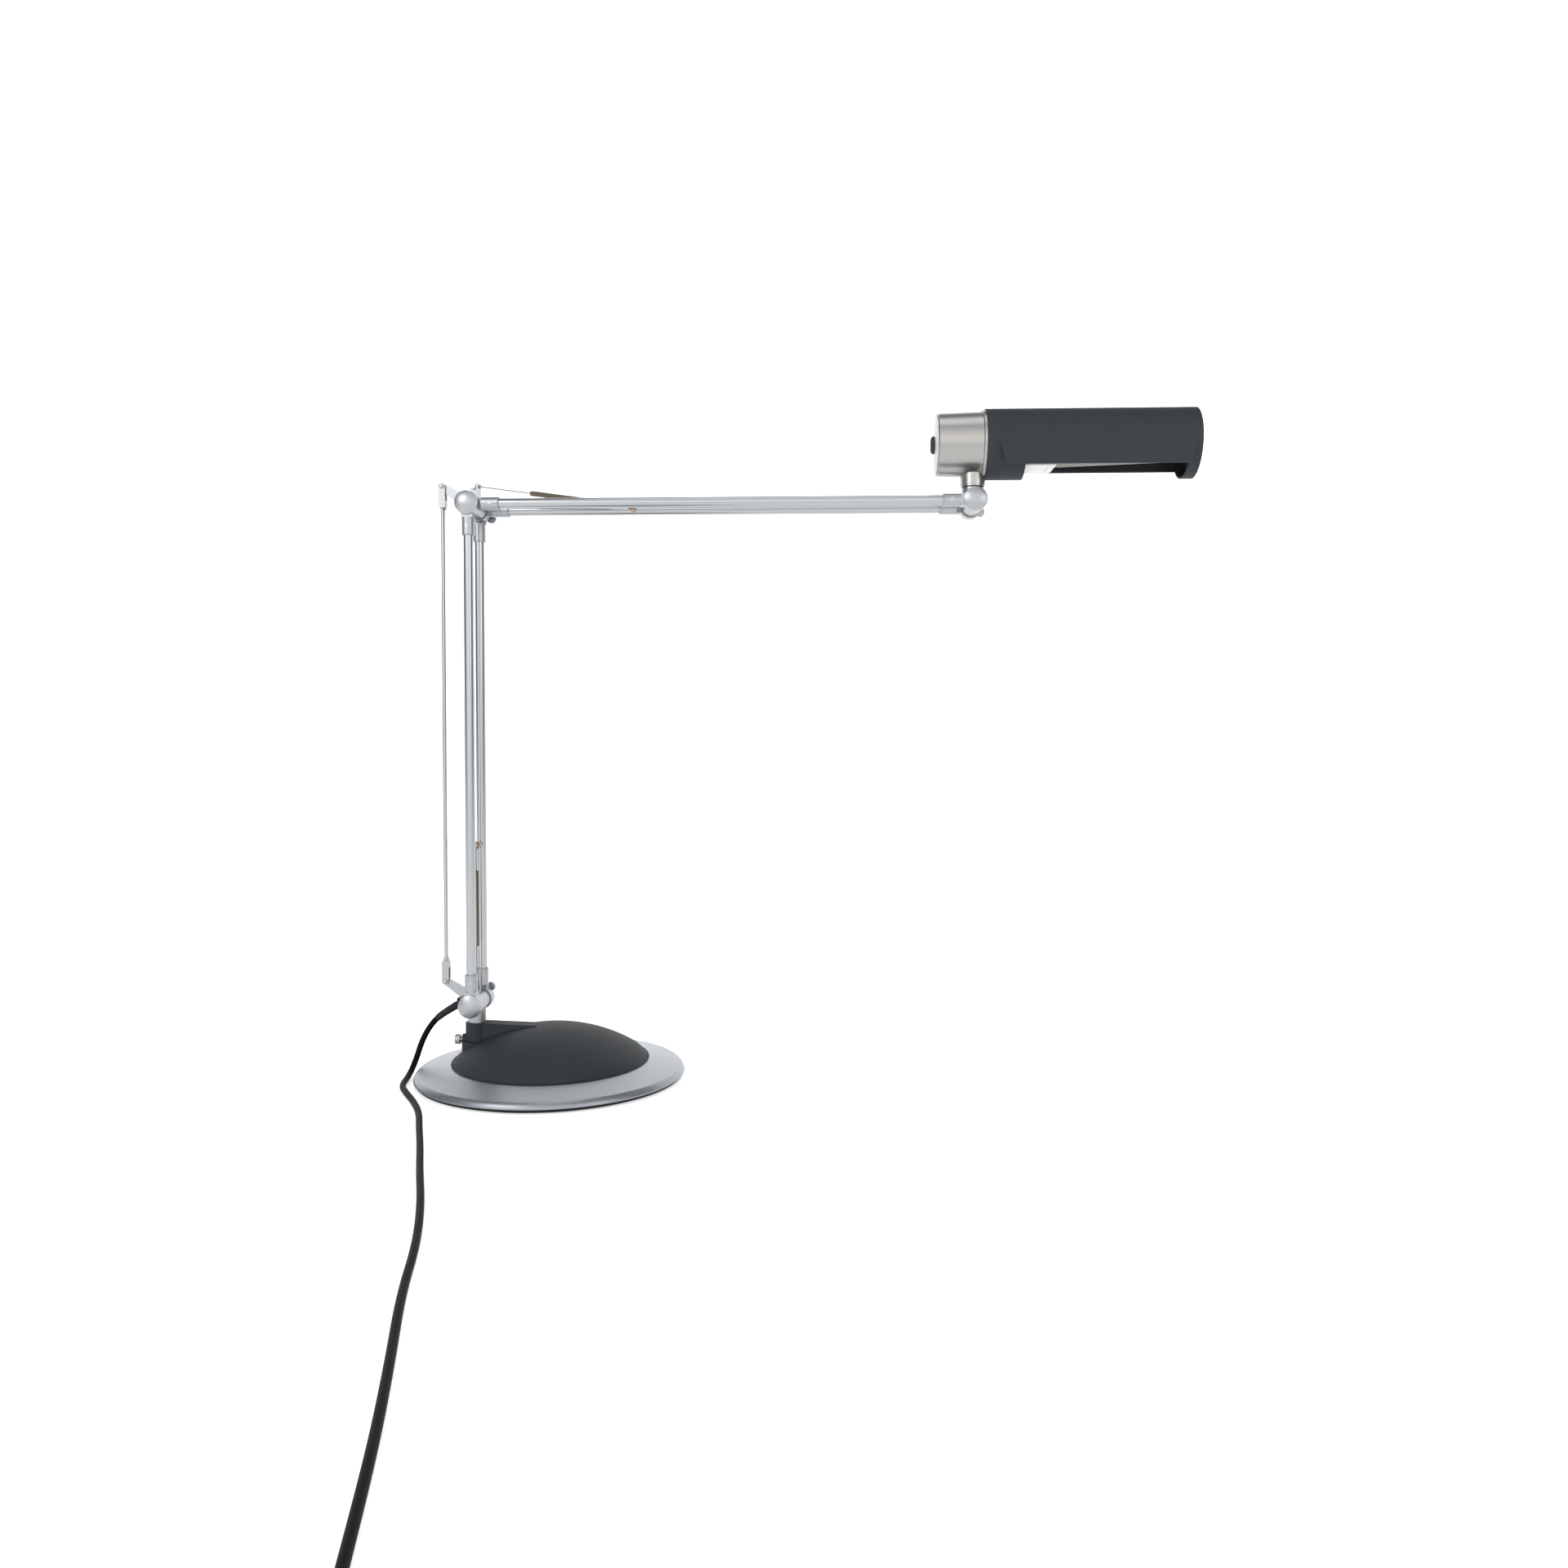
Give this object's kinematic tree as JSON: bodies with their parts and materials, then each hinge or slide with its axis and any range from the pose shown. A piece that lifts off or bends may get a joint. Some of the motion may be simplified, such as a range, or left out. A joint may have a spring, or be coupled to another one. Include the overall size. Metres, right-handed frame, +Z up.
{
  "type": "swing arm desk lamp",
  "caption": "Swing arm desk lamp with a round weighted base, two sprung twin-tube arms and a tubular head that tilts, turns and rolls.",
  "frame": {"origin": "centre of the base's underside, on the table", "axes": "+X along the upper arm at rest, +Z up, -Y is the front"},
  "size_m": [0.6435, 0.8127, 0.5455],
  "materials": {
    "moulding_dark": "fine textured dark grey",
    "ring_silver": "satin silver paint",
    "head_nickel": "satin nickel plate",
    "tube_aluminium": "bright satin, drawn",
    "cap_silver": "smooth silver",
    "steel": "bare satin",
    "spring_steel": "oiled brown grey",
    "rubber_black": "matt",
    "pan_black": "black paint",
    "iron": "as cast",
    "cord_black": "satin black jacket",
    "holder_grey": "light grey moulding",
    "lamp_white": "white coated glass",
    "lamp_base_white": "white moulding",
    "reflector_white": "white paint",
    "button_black": "black moulding"
  },
  "bodies": {
    "base": {"base_pad": "rubber_black", "base_pan": "pan_black", "base_weight": "iron", "base_ring": "ring_silver", "base_cover": "moulding_dark", "pan_screws": "steel", "post_tube": "steel", "mains_cord_floor": "cord_black", "mains_cord_coil": "cord_black", "mains_plug": "cord_black"},
    "clamp_screw": {"thumb_screw": "cap_silver"},
    "swivel": {"base_bracket": "cap_silver", "swivel_spigot": "steel", "lower_pivot_bolt": "steel", "lower_washers": "cap_silver", "lower_pivot_cap": "cap_silver", "cable_gland": "cord_black", "mains_cord_drop": "cord_black"},
    "lower_knob": {"lower_tension_knob": "cap_silver"},
    "lower_arm": {"lower_tubes": "tube_aluminium", "lower_foot_knuckles": "cap_silver", "lower_top_knuckles": "cap_silver", "lower_cross_pin": "steel", "lower_arm_lead": "cord_black", "lower_spring": "spring_steel"},
    "tie_link": {"tie_rod": "tube_aluminium", "tie_rod_forks": "cap_silver", "tie_rod_pins": "steel"},
    "elbow": {"elbow_bracket": "cap_silver", "elbow_pivot_bolt": "steel", "elbow_washers": "cap_silver", "elbow_pivot_cap": "cap_silver", "elbow_hook_screw": "steel"},
    "elbow_knob": {"elbow_tension_knob": "cap_silver"},
    "upper_arm": {"upper_tubes": "tube_aluminium", "upper_elbow_knuckles": "cap_silver", "upper_end_knuckles": "cap_silver", "upper_cross_pin": "steel", "upper_arm_lead": "cord_black", "upper_spring": "spring_steel"},
    "head_bracket": {"head_hinge_block": "head_nickel", "head_pivot_bolt": "steel", "head_washers": "cap_silver", "head_pivot_cap": "cap_silver", "head_lead": "cord_black"},
    "head_knob": {"head_tension_knob": "cap_silver"},
    "head": {"neck_collar": "head_nickel", "lamp_housing": "head_nickel", "housing_end_cap": "head_nickel", "housing_rim": "head_nickel", "switch_body": "holder_grey", "ballast": "iron"},
    "button": {"switch_button": "button_black"},
    "shade_unit": {"shade": "moulding_dark", "shade_end_cap": "moulding_dark", "reflector": "reflector_white", "lamp_holder": "holder_grey", "lamp_base": "lamp_base_white", "lamp_tubes": "lamp_white"}
  },
  "joints": [
    {"name": "clamp_turn", "type": "hinge", "parent": "base", "child": "clamp_screw", "pos_m": [-0.0758, 0, 0.0305], "axis": [1, 0, 0], "range_deg": [-180, 180]},
    {"name": "swivel_turn", "type": "hinge", "parent": "base", "child": "swivel", "pos_m": [-0.062, 0, 0.045], "axis": [0, 0, 1], "range_deg": [-90, 90], "deforming": ["mains_cord_drop"]},
    {"name": "lower_knob_turn", "type": "hinge", "parent": "swivel", "child": "lower_knob", "pos_m": [-0.062, 0, 0.062], "axis": [0, 1, 0], "range_deg": [-180, 180]},
    {"name": "lower_arm_lean", "type": "hinge", "parent": "swivel", "child": "lower_arm", "pos_m": [-0.062, 0, 0.062], "axis": [0, 1, 0], "range_deg": [-20, 50], "deforming": ["lower_spring"]},
    {"name": "tie_link_swing", "type": "hinge", "parent": "swivel", "child": "tie_link", "pos_m": [-0.0877, 0, 0.079], "axis": [0, 1, 0], "range_deg": [-20, 50]},
    {"name": "elbow_level", "type": "hinge", "parent": "lower_arm", "child": "elbow", "pos_m": [-0.062, 0, 0.47], "axis": [0, 1, 0], "range_deg": [-50, 20]},
    {"name": "elbow_knob_turn", "type": "hinge", "parent": "elbow", "child": "elbow_knob", "pos_m": [-0.062, 0, 0.47], "axis": [0, 1, 0], "range_deg": [-180, 180]},
    {"name": "upper_arm_lift", "type": "hinge", "parent": "elbow", "child": "upper_arm", "pos_m": [-0.062, 0, 0.47], "axis": [0, 1, 0], "range_deg": [-45, 20], "deforming": ["upper_spring"]},
    {"name": "head_tilt", "type": "hinge", "parent": "upper_arm", "child": "head_bracket", "pos_m": [0.346, 0, 0.47], "axis": [0, 1, 0], "range_deg": [-20, 90]},
    {"name": "head_knob_turn", "type": "hinge", "parent": "head_bracket", "child": "head_knob", "pos_m": [0.346, 0, 0.47], "axis": [0, 1, 0], "range_deg": [-180, 180]},
    {"name": "head_swivel", "type": "hinge", "parent": "head_bracket", "child": "head", "pos_m": [0.346, 0, 0.4855], "axis": [0, 0, 1], "range_deg": [-90, 90]},
    {"name": "shade_roll", "type": "hinge", "parent": "head", "child": "shade_unit", "pos_m": [0.3525, 0, 0.5175], "axis": [1, 0, 0], "range_deg": [-90, 90]},
    {"name": "switch_press", "type": "slide", "parent": "head", "child": "button", "axis": [1, 0, 0], "range_m": [0, 0.0015], "stiffness_N_per_m": 600, "springref_m": -0.002}
  ],
  "couplings": [
    {"joint": "tie_link_swing", "follows": "lower_arm_lean", "ratio": 1},
    {"joint": "elbow_level", "follows": "lower_arm_lean", "ratio": -1}
  ]
}
